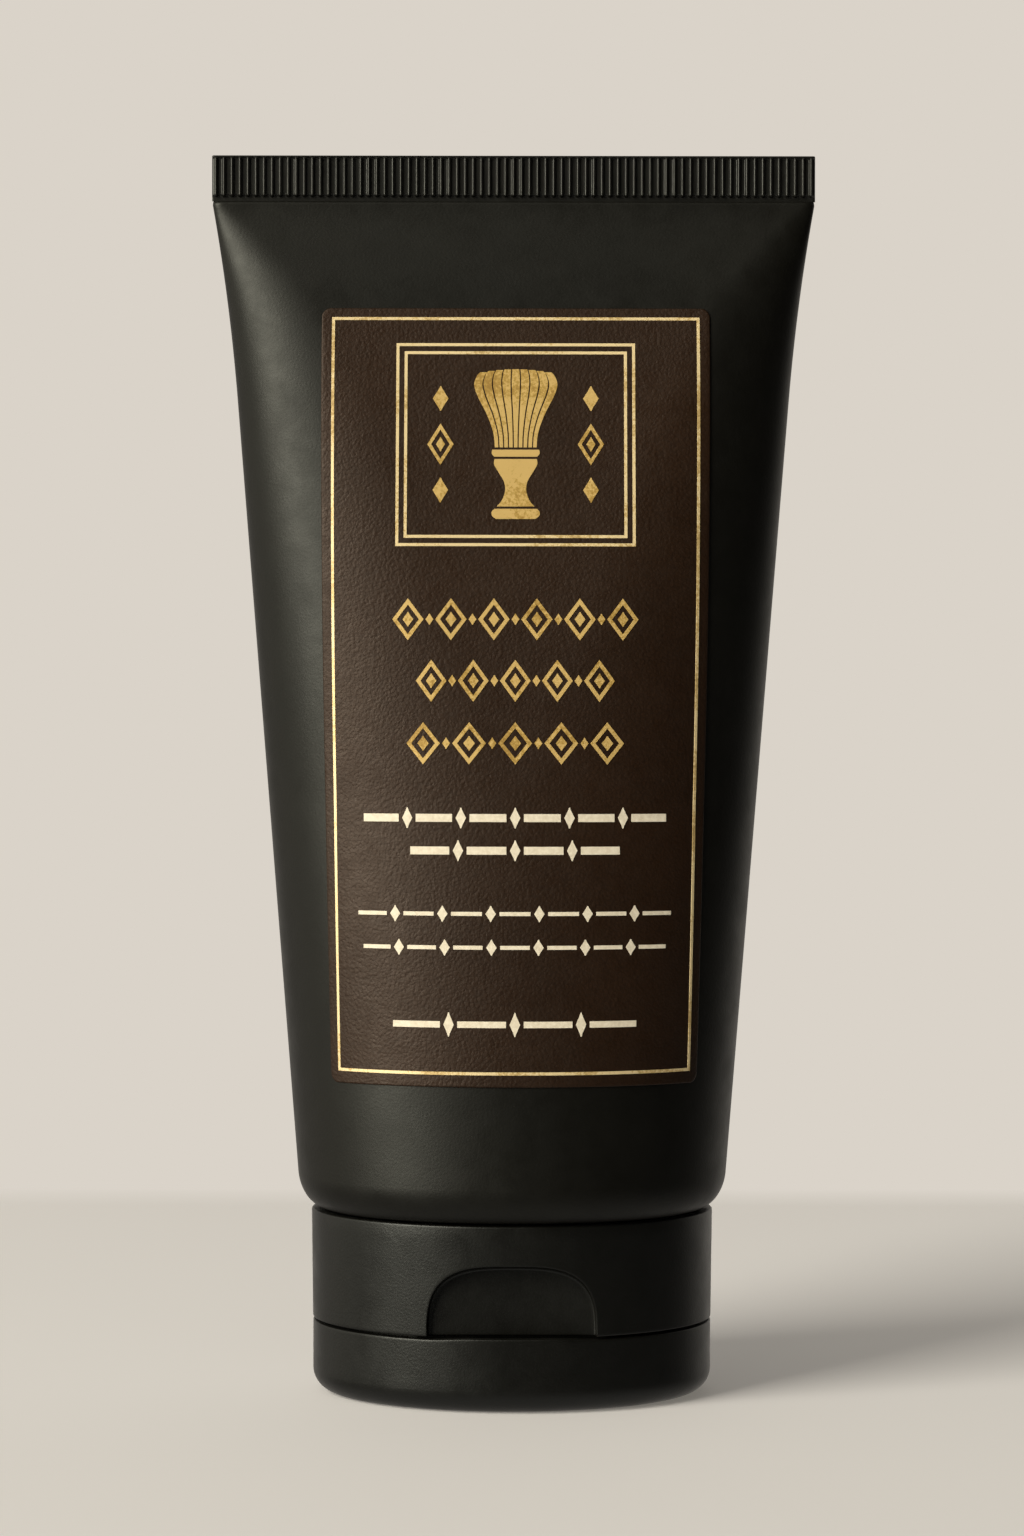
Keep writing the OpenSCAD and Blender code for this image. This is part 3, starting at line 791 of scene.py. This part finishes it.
ARCH_HALF_W = 10.7
ARCH_H = 9.1
ARCH_POWER = 3.1
CORNER_SHARE = 0.8
EDGE_ROUND = 0.2
ARCH_ROUND = 0.12
TOP_ROUND = 0.3
RIM_ROUND = 0.15
PATCH_PHI = math.radians(52)
LEDGE_H = FLAT_TOP - SKIRT_Z
FRONT_STOP = -(CAP_B - RECESS_DEPTH) + WALL
REAR_STOP = HINGE_Y - WALL


def lower_round(z):
    """How far the skirt's rounded lower edge turns in."""
    near = np.clip(SKIRT_Z + EDGE_ROUND - z, 0, EDGE_ROUND)
    return EDGE_ROUND - np.sqrt(EDGE_ROUND ** 2 - near ** 2)


def skirt_inset(z):
    """How far the skirt's outside lies inside its oval: it narrows downwards, to a rounded edge."""
    draft = DRAFT * np.clip((CAP_TOP - z) / (CAP_TOP - SKIRT_Z), 0, 1)
    return draft + lower_round(z)


def rear_limit(z, start, height):
    """Greatest y of the rear, which is flat from start up, or down, over the given height."""
    beyond = (np.asarray(z, float) - start) / height
    return HINGE_Y + 2 * smooth(beyond)


def skirt_point(phi, z):
    """Point of the skirt's outside."""
    i = skirt_inset(z)
    x, y = (CAP_A - i) * np.cos(phi), (CAP_B - i) * np.sin(phi)
    return x, np.minimum(y, rear_limit(z, FLAT_TOP - 0.15, 0.25)), z + 0 * x


def arch_samples():
    """Angles along the right half of the thumb recess's outline, from its foot to its top.

    Its side, up to CORNER_SHARE of its height, spreads over the whole height of the skirt. The last
    value says how fast it spreads.
    """
    skirt_h = CAP_TOP - TOP_ROUND - SKIRT_Z
    corner_h = CORNER_SHARE * ARCH_H
    c = (skirt_h / corner_h - 1) / corner_h ** 2
    fine = np.linspace(0, corner_h, 4001)
    ledge = [LEDGE_H + k for k in (-0.2, -0.15, -0.1, -0.05, 0, 0.05, 0.1)]
    h_foot = EDGE_ROUND * np.array([0, 0.08, 0.25, 0.5, 0.75, 1.0])
    h_ledge = np.interp(ledge, fine * (1 + c * fine ** 2), fine)
    h_side = np.concatenate([h_foot, np.linspace(0.5, corner_h, 16), h_ledge])
    h_side = np.unique(np.round(h_side, 5))
    t_side = np.arcsin((h_side / ARCH_H) ** (ARCH_POWER / 2))
    x_top = ARCH_HALF_W * (1 - CORNER_SHARE ** ARCH_POWER) ** (1 / ARCH_POWER)
    x_rest = np.linspace(x_top, 0, 26)[1:]
    t_top = np.arccos((x_rest / ARCH_HALF_W) ** (ARCH_POWER / 2))
    return t_side, t_top, c


def skirt():
    """Outer moulding of the cap, with the thumb recess in its front and a flat for the hinge."""
    t_side, t_top, c = arch_samples()
    t = np.concatenate([t_side, t_top])
    n_side = len(t_side)
    p = 2 / ARCH_POWER
    x, h = ARCH_HALF_W * np.cos(t) ** p, ARCH_H * np.sin(t) ** p
    x[-1] = 0
    nx = (x / ARCH_HALF_W) ** (ARCH_POWER - 1) / ARCH_HALF_W
    nz = (h / ARCH_H) ** (ARCH_POWER - 1) / ARCH_H
    size = np.hypot(nx, nz)
    nx, nz = nx / size, nz / size

    def oval_y(px, pz):
        i = skirt_inset(pz)
        return -(CAP_B - i) * np.sqrt(np.clip(1 - (px / (CAP_A - i)) ** 2, 0, 1))

    floor_y = -(CAP_B - RECESS_DEPTH)
    fillet = 0.32 + 0.5 * nz ** 2
    edge_y = oval_y(x, SKIRT_Z + h) + ARCH_ROUND
    rows = []
    # The recess's floor, its fillet, its rounded edge and the skirt round it
    in_x, pz = x - fillet * nx, SKIRT_Z + h - fillet * nz
    in_x[-1] = 0
    for k in (0, 0.12, 0.3, 0.5, 0.7, 0.86, 0.96):
        rows.append((in_x * k, floor_y + lower_round(pz), pz))
    for b in np.radians(np.linspace(90, 0, 9)):
        d = -fillet * (1 - math.cos(b))
        px, pz = x + d * nx, SKIRT_Z + h + d * nz
        rows.append((px, edge_y + (floor_y - edge_y + lower_round(pz)) * math.sin(b), pz))
    for a in np.radians([68, 45, 22, 0]):
        d = ARCH_ROUND * (1 - math.sin(a))
        px, pz = x + d * nx, SKIRT_Z + h + d * nz
        rows.append((px, oval_y(px, pz) + ARCH_ROUND * (1 - math.cos(a)), pz))
    edge_x, edge_z = rows[-1][0], rows[-1][2]
    far_z = np.empty_like(t)
    far_z[:n_side] = SKIRT_Z + h[:n_side] * (1 + c * h[:n_side] ** 2)
    far_z[n_side:] = far_z[n_side - 1]
    far_phi = np.full_like(t, PATCH_PHI)
    far_phi[n_side:] = np.pi / 2 - (np.pi / 2 - PATCH_PHI) * x[n_side:] / x[n_side - 1]
    far_x = (CAP_A - skirt_inset(far_z)) * np.cos(far_phi)
    far_x[-1] = 0
    for k in (0.03, 0.08, 0.16, 0.28, 0.45, 0.7, 1):
        px, pz = edge_x + (far_x - edge_x) * k, edge_z + (far_z - edge_z) * k
        rows.append((px, oval_y(px, pz), pz))
    right = np.array([np.stack(r, axis=-1) for r in rows])
    left = right[:, :-1][:, ::-1] * np.array([-1, 1, 1])
    patch = np.concatenate([right, left], axis=1)
    pr, pc = patch.shape[:2]

    # The rest of the skirt runs round the back, from the patch's right side to its left side
    phi_ring = np.linspace(-PATCH_PHI, np.pi + PATCH_PHI, 300)
    ring_z = far_z[:n_side]
    ring = np.stack(skirt_point(phi_ring[None, :], ring_z[:, None]), axis=-1)
    rr, rc = ring.shape[:2]
    # Rounded top edge, all the way round
    phi_top = np.concatenate([phi_ring[:-1], np.pi + far_phi[n_side - 1:],
                              2 * np.pi - far_phi[n_side:-1][::-1]])
    z_top = far_z[-1]
    base_inset = skirt_inset(z_top)
    cap_rows = [np.stack(skirt_point(phi_top, z_top), axis=-1)]
    for a in np.radians(np.linspace(15, 90, 6)):
        i = base_inset + TOP_ROUND * (1 - math.cos(a))
        z = z_top + TOP_ROUND * math.sin(a)
        cap_rows.append(np.stack([(CAP_A - i) * np.cos(phi_top), (CAP_B - i) * np.sin(phi_top),
                                  np.full_like(phi_top, z)], axis=-1))
    crown = np.array(cap_rows)
    cr, cc = crown.shape[:2]
    # Lower edge path, the inner wall below and above it, and the top face
    path = np.concatenate([ring[0], patch[::-1, -1][1:], patch[1:, 0][:-1]])
    u = np.clip(path[:, 0] / CAP_A, -1, 1) * (CAP_A - WALL)
    v = path[:, 1] / np.maximum(np.hypot(path[:, 0] / CAP_A, path[:, 1] / CAP_B), 0.01) / CAP_B
    inner_y = np.clip(np.sign(v) * (CAP_B - WALL) * np.sqrt(1 - (u / (CAP_A - WALL)) ** 2),
                      FRONT_STOP, REAR_STOP)
    inner = [np.stack([u, inner_y, np.full_like(u, z)], axis=-1)
             for z in (SKIRT_Z, SKIRT_Z + 1.6, CAP_TOP)]
    m = len(path)
    points = np.concatenate([patch.reshape(-1, 3), ring.reshape(-1, 3), crown.reshape(-1, 3), path]
                            + inner)
    a0, b0 = pr * pc, pr * pc + rr * rc
    c0 = b0 + cr * cc
    quads = np.concatenate([
        grid_quads(pr, pc, flip=True), grid_quads(rr, rc, start=a0),
        grid_quads(cr, cc, close_columns=True, start=b0),
        grid_quads(4, m, close_columns=True, start=c0, flip=True),
    ])
    outer_loop = b0 + (cr - 1) * cc + np.arange(cc)
    inner_loop = c0 + 3 * m + np.arange(m)
    ends = stitch(points, outer_loop, inner_loop)
    return make_piece("cap_skirt_moulding", points, quads, CAP_BLACK, "tube",
                      ["cap_skirt"], ends=ends, sharp=40, merge=True)


def stitch(points, outer, inner):
    """Triangles between two closed loops that run the same way round the Z axis."""
    a, b = (np.unwrap(np.arctan2(points[loop, 1] / CAP_B, points[loop, 0] / CAP_A))
            for loop in (outer, inner))
    b = b + 2 * np.pi * np.round((a[0] - b[0]) / (2 * np.pi))
    n, m, i, j = len(outer), len(inner), 0, 0
    faces = []
    while i < n or j < m:
        next_a = a[i + 1] if i + 1 < n else a[0] + 2 * np.pi
        next_b = b[j + 1] if j + 1 < m else b[0] + 2 * np.pi
        if j >= m or (i < n and next_a <= next_b):
            faces.append([outer[i], outer[(i + 1) % n], inner[j % m]])
            i += 1
        else:
            faces.append([outer[i % n], inner[(j + 1) % m], inner[j]])
            j += 1
    return faces


def oval_ring(inset, z, count=360, front=None, rear=None):
    """Ring of the cap's oval, moved in by inset, cut flat at the front and the rear."""
    phi = np.linspace(0, 2 * np.pi, count, endpoint=False)
    x, y = (CAP_A - inset) * np.cos(phi), (CAP_B - inset) * np.sin(phi)
    if front is not None:
        y = np.maximum(y, front)
    if rear is not None:
        y = np.minimum(y, rear)
    return np.stack([x, y, np.full(count, z)], axis=-1)


def circle_ring(radius, z, count=360):
    """Ring round the Z axis."""
    phi = np.linspace(0, 2 * np.pi, count, endpoint=False)
    return np.stack([radius * np.cos(phi), radius * np.sin(phi), np.full(count, z)], axis=-1)


def lid():
    """Dished lid with a rounded foot, a flat for the hinge and a low crest below the recess."""
    rings = []

    def outer(inset, z):
        rings.append(oval_ring(inset, z, rear=float(rear_limit(-z, -LID_H + 4.75, 0.25))))

    for t in np.radians(np.linspace(90, 0, 13)):
        outer(LID_SIDE + FOOT_R * (1 - math.cos(t)), FOOT_R * (1 - math.sin(t)))
    for z in [3.9, 4.3, 4.4, 4.45, 4.5, 4.55, 4.6, 4.65, 4.7, 5.5, 6.5, 7.5, 8.2, 8.6, 8.9]:
        outer(LID_SIDE, z)
    for t in np.radians(np.linspace(0, 90, 6)):
        outer(LID_SIDE + EDGE_ROUND * (1 - math.cos(t)), LID_H - EDGE_ROUND * (1 - math.sin(t)))
    inner_inset, inner_r = LID_SIDE + WALL, 1.0
    for t in np.radians(np.linspace(90, 0, 4)):
        rings.append(oval_ring(inner_inset - RIM_ROUND * (1 - math.cos(t)),
                               LID_H - RIM_ROUND * (1 - math.sin(t)), rear=REAR_STOP))
    for z in (8.9, 7, 4, LID_FLOOR + inner_r):
        rings.append(oval_ring(inner_inset, z, rear=REAR_STOP))
    for t in np.radians(np.linspace(15, 90, 6)):
        rings.append(oval_ring(inner_inset + inner_r * (1 - math.cos(t)),
                               LID_FLOOR + inner_r * (1 - math.sin(t)),
                               rear=REAR_STOP - inner_r * (1 - math.cos(t))))
    points = np.array(rings)
    # Low crest of the rim below the thumb recess
    x, y, z = points[..., 0], points[..., 1], points[..., 2]
    ramp_x = smooth((RECESS_W / 2 + 0.6 - np.abs(x)) / 6.5)
    points[..., 2] = z + CREST * ramp_x * smooth((z - LID_H + 1.6) / 1.4) * (y < 0)
    r, c = points.shape[:2]
    ends = [list(range(c))[::-1], list(range((r - 1) * c, r * c))]
    return make_piece("flip_lid", points.reshape(-1, 3), grid_quads(r, c, close_columns=True),
                      CAP_BLACK, "lid", ["lid_shell"], ends=ends, sharp=40)


def deck():
    """Deck round the nozzle, with the rim that the lid closes over."""
    top, low = DECK_TOP, SKIRT_Z - 1.45
    hole, rim_in, rim_t, e = 3.6, WALL + 0.5, 1.2, 0.2
    front = FRONT_STOP + 0.01
    rings = [circle_ring(hole, top), circle_ring(hole, SKIRT_Z + e), circle_ring(hole + e, SKIRT_Z)]
    rings += [circle_ring(r, SKIRT_Z) for r in (6, 9, 12)]
    rim_rear = REAR_STOP - 0.9
    inner = rim_in + rim_t
    steps = [(inner + 0.3, SKIRT_Z), (inner + 0.08, SKIRT_Z - 0.08), (inner, SKIRT_Z - 0.3),
             (inner, low + e), (inner - e * 0.3, low + e * 0.3), (inner - e, low),
             (rim_in + e, low), (rim_in + e * 0.3, low + e * 0.3), (rim_in, low + e),
             (rim_in, SKIRT_Z)]
    for inset, z in steps:
        k = inset - rim_in
        rings.append(oval_ring(inset, z, front=front + k, rear=rim_rear - k))
    rings.append(oval_ring(WALL + 0.01, SKIRT_Z, front=front, rear=REAR_STOP))
    rings.append(oval_ring(WALL + 0.01, top, front=front, rear=REAR_STOP))
    points = np.array(rings)
    r, c = points.shape[:2]
    return make_piece("cap_deck_and_rim", points.reshape(-1, 3),
                      grid_quads(r, c, close_rows=True, close_columns=True), INNER_BLACK, "tube",
                      ["cap_deck"], sharp=35)


def rounded(profile, radius, steps=5):
    """Closed outline with its corners rounded, except where a point lies on the axis."""
    out = []
    n = len(profile)
    pts = [np.array(p, float) for p in profile]
    for i, p in enumerate(pts):
        a, b = pts[i - 1], pts[(i + 1) % n]
        if p[0] < 1e-6:
            out.append(p)
            continue
        u, v = (a - p) / np.linalg.norm(a - p), (b - p) / np.linalg.norm(b - p)
        cut = min(radius, np.linalg.norm(a - p) * 0.45, np.linalg.norm(b - p) * 0.45)
        for k in np.linspace(0, 1, steps):
            out.append((1 - k) ** 2 * (p + u * cut) + 2 * k * (1 - k) * p + k ** 2 * (p + v * cut))
    return np.array(out)


def revolve(name, profile, radius, body, node, material, count=96):
    """Solid of revolution about the Z axis, from a closed (radius, height) outline."""
    outline = rounded(profile, radius)
    phi = np.linspace(0, 2 * np.pi, count, endpoint=False)
    rings = np.stack([outline[:, 0:1] * np.cos(phi), outline[:, 0:1] * np.sin(phi),
                      np.repeat(outline[:, 1:2], count, axis=1)], axis=-1)
    # The outline runs anticlockwise seen with the axis on the left
    area = np.sum(outline[:, 0] * np.roll(outline[:, 1], -1)
                  - np.roll(outline[:, 0], -1) * outline[:, 1])
    quads = grid_quads(len(outline), count, close_rows=True, close_columns=True, flip=area < 0)
    return make_piece(name, rings.reshape(-1, 3), quads, material, body, [node],
                      sharp=40, merge=True)


def inside_parts():
    """Nozzle and the pin of the lid that closes it."""
    orifice, nozzle_z, wall_r = 2.25, 5.4, 3.6
    revolve("dispensing_spout", [(orifice + 0.25, nozzle_z), (wall_r - 0.4, nozzle_z),
                                 (wall_r, nozzle_z + 0.45), (wall_r, DECK_TOP), (orifice, DECK_TOP),
                                 (orifice, nozzle_z + 0.35)], 0.18, "tube",
            "dispensing_nozzle", INNER_BLACK)
    revolve("sealing_pin", [(0, LID_FLOOR), (orifice + 1, LID_FLOOR),
                            (orifice - 0.2, LID_FLOOR + 1.2), (orifice - 0.2, nozzle_z),
                            (orifice - 0.45, nozzle_z + 1.2), (0, nozzle_z + 1.2)], 0.25, "lid",
            "sealing_plug", INNER_BLACK)


def hinge_web(name, node, thin):
    """Flat web across the parting line, thinned along its fold."""
    low, high = box_mm(node)
    z_mid, half_h, t = (low[2] + high[2]) / 2, (high[2] - low[2]) / 2, high[1] - low[1]
    z = np.linspace(-half_h, half_h, 61)
    e = 0.12
    ends = np.minimum(1, (half_h - np.abs(z)) / e)
    outside = high[1] - e * (1 - np.sqrt(np.clip(1 - (1 - ends) ** 2, 0, 1)))
    outside = outside - thin * t * np.exp(-(z / 0.45) ** 2)
    ring_y = np.concatenate([outside, np.full_like(z, low[1])])
    ring_z = np.concatenate([z, z[::-1]]) + z_mid
    rings = []
    for x, k in ((low[0], 0.75), (low[0] + 0.04, 0.93), (low[0] + 0.12, 1), (high[0] - 0.12, 1),
                 (high[0] - 0.04, 0.93), (high[0], 0.75)):
        rings.append(np.stack([np.full_like(ring_y, x), low[1] + (ring_y - low[1]) * k,
                               z_mid + (ring_z - z_mid) * (1 - (1 - k) * 0.1)], axis=-1))
    points = np.array(rings)
    r, c = points.shape[:2]
    faces = [list(range(c)), list(range((r - 1) * c, r * c))[::-1]]
    piece = make_piece(name, points.reshape(-1, 3), grid_quads(r, c, close_columns=True, flip=True),
                       CAP_BLACK, None, [node], ends=faces, sharp=45)
    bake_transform(piece)


# ---- Build ----

sleeve()
end_seal()
label_and_print()
skirt()
lid()
deck()
inside_parts()
hinge_web("living_hinge_film", "hinge_film", 0.45)
hinge_web("hinge_strap_left", "hinge_band_left", 0.25)
hinge_web("hinge_strap_right", "hinge_band_right", 0.25)

for node, material in (("tube_head", INNER_BLACK), ("snap_collar", INNER_BLACK),
                       ("cap_ribs", INNER_BLACK), ("shave_cream", PASTE)):
    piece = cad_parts[node]
    piece.data.materials.clear()
    piece.data.materials.append(material)


# ---- Studio ----

WALL_COLOUR = (0.701, 0.651, 0.584)
FLOOR_COLOUR = (0.630, 0.584, 0.509)
KEY_COLOUR = (1.0, 0.925, 0.765)
FADE = 0.0245
scene = bpy.context.scene
scene.view_settings.view_transform = "Standard"
scene.view_settings.look = "None"


def studio_floor():
    """Pale floor whose far edge fades into the wall."""
    mesh = bpy.data.meshes.new("studio_floor")
    side, near, far = 0.9, -1.2, 0.2075
    corners = [(-side, near, 0), (side, near, 0), (side, far, 0), (-side, far, 0)]
    mesh.from_pydata(corners, [], [(0, 1, 2, 3)])
    floor = bpy.data.objects.new("studio_floor", mesh)
    scene.collection.objects.link(floor)
    material, tree, shader, where = node_material("pale_paper_floor")
    tone = noise(tree, where, 6, 3, 0.5)
    paint(tree, shader, tone, "Fac",
          [(0.3, (0.695, 0.699, 0.738)), (0.7, (0.705, 0.709, 0.749))])
    feed(shader, {"Roughness": 0.8, "Specular IOR Level": 0.1,
                  "Emission Color": (*FLOOR_COLOUR, 1), "Emission Strength": 0.25})
    # The last FADE of the floor blends into the wall
    split, fade = add(tree, "SeparateXYZ"), add(tree, "MixShader")
    link(tree, where, "Object", split, "Vector")
    reach = remap(tree, split, "Y", far - FADE, far - 0.001, 0, 1)
    wall = add(tree, "Emission")
    feed(wall, {"Color": (*WALL_COLOUR, 1)})
    link(tree, reach, "Result", fade, 0)
    link(tree, shader, 0, fade, 1)
    link(tree, wall, 0, fade, 2)
    link(tree, fade, 0, tree.nodes["Material Output"], "Surface")
    mesh.materials.append(material)
    floor.visible_glossy = False


def studio_world():
    """The camera sees a plain pale wall. The object is lit by a glow from that wall only."""
    world = bpy.data.worlds.new("studio_wall")
    scene.world = world
    world.use_nodes = True
    tree = world.node_tree
    tree.nodes.clear()
    out, seen, lit = (add(tree, kind) for kind in ("OutputWorld", "Background", "Background"))
    for background in (seen, lit):
        feed(background, {"Color": (*WALL_COLOUR, 1)})
    split = add(tree, "SeparateXYZ")
    link(tree, add(tree, "TexCoord"), "Generated", split, "Vector")
    # The glow comes from behind the object, and from the floor's side below it
    behind = remap(tree, split, "Y", 0.2, 1.0, 0.03, 0.8)
    below = remap(tree, split, "Z", -0.15, -0.7, 0.02, 0.5)
    both = add(tree, "Math", operation="MAXIMUM")
    link(tree, behind, "Result", both, 0)
    link(tree, below, "Result", both, 1)
    link(tree, both, "Value", lit, "Strength")
    mix = add(tree, "MixShader")
    link(tree, add(tree, "LightPath"), "Is Camera Ray", mix, 0)
    link(tree, lit, 0, mix, 1)
    link(tree, seen, 0, mix, 2)
    link(tree, mix, 0, out, "Surface")


def softbox(name, azimuth, elevation, distance, width, height, power, colour, aim=(0, 0, 0.07)):
    """Area light round the object. Azimuth 0 is the camera's side, and negative is its left."""
    a, e = math.radians(azimuth), math.radians(elevation)
    back = Vector((math.sin(a) * math.cos(e), -math.cos(a) * math.cos(e), math.sin(e)))
    data = bpy.data.lights.new(name, "AREA")
    data.shape = "RECTANGLE"
    data.size, data.size_y = width, height
    data.energy = power
    data.color = colour
    light = bpy.data.objects.new(name, data)
    light.location = Vector(aim) + back * distance
    light.rotation_euler = back.to_track_quat("Z", "Y").to_euler()
    scene.collection.objects.link(light)


studio_floor()
studio_world()
softbox("key_softbox", -51, 24, 2.75, 1.4, 2.375, 105, KEY_COLOUR)
softbox("top_softbox", -32, 66, 1.0, 0.5, 0.5, 0.7, KEY_COLOUR)
softbox("left_reflector", -97, 12, 0.9, 0.7, 0.9, 1.2, KEY_COLOUR)
softbox("right_rim", 130, 14, 0.9, 0.7, 0.9, 0.28, KEY_COLOUR)

CAMERA_DISTANCE, CAMERA_HEIGHT = 0.5, 0.0890
CAMERA_DOWN, CAMERA_ROLL = math.radians(0.92), math.radians(-0.093)
camera = bpy.data.objects.new("camera", bpy.data.cameras.new("camera"))
scene.collection.objects.link(camera)
scene.camera = camera
camera.data.sensor_width = 36
camera.data.lens = 89.92
camera.data.clip_start, camera.data.clip_end = 0.01, 20
camera.location = (-0.0001, -CAMERA_DISTANCE, CAMERA_HEIGHT)
camera.rotation_euler = (math.pi / 2 - CAMERA_DOWN, CAMERA_ROLL, 0)
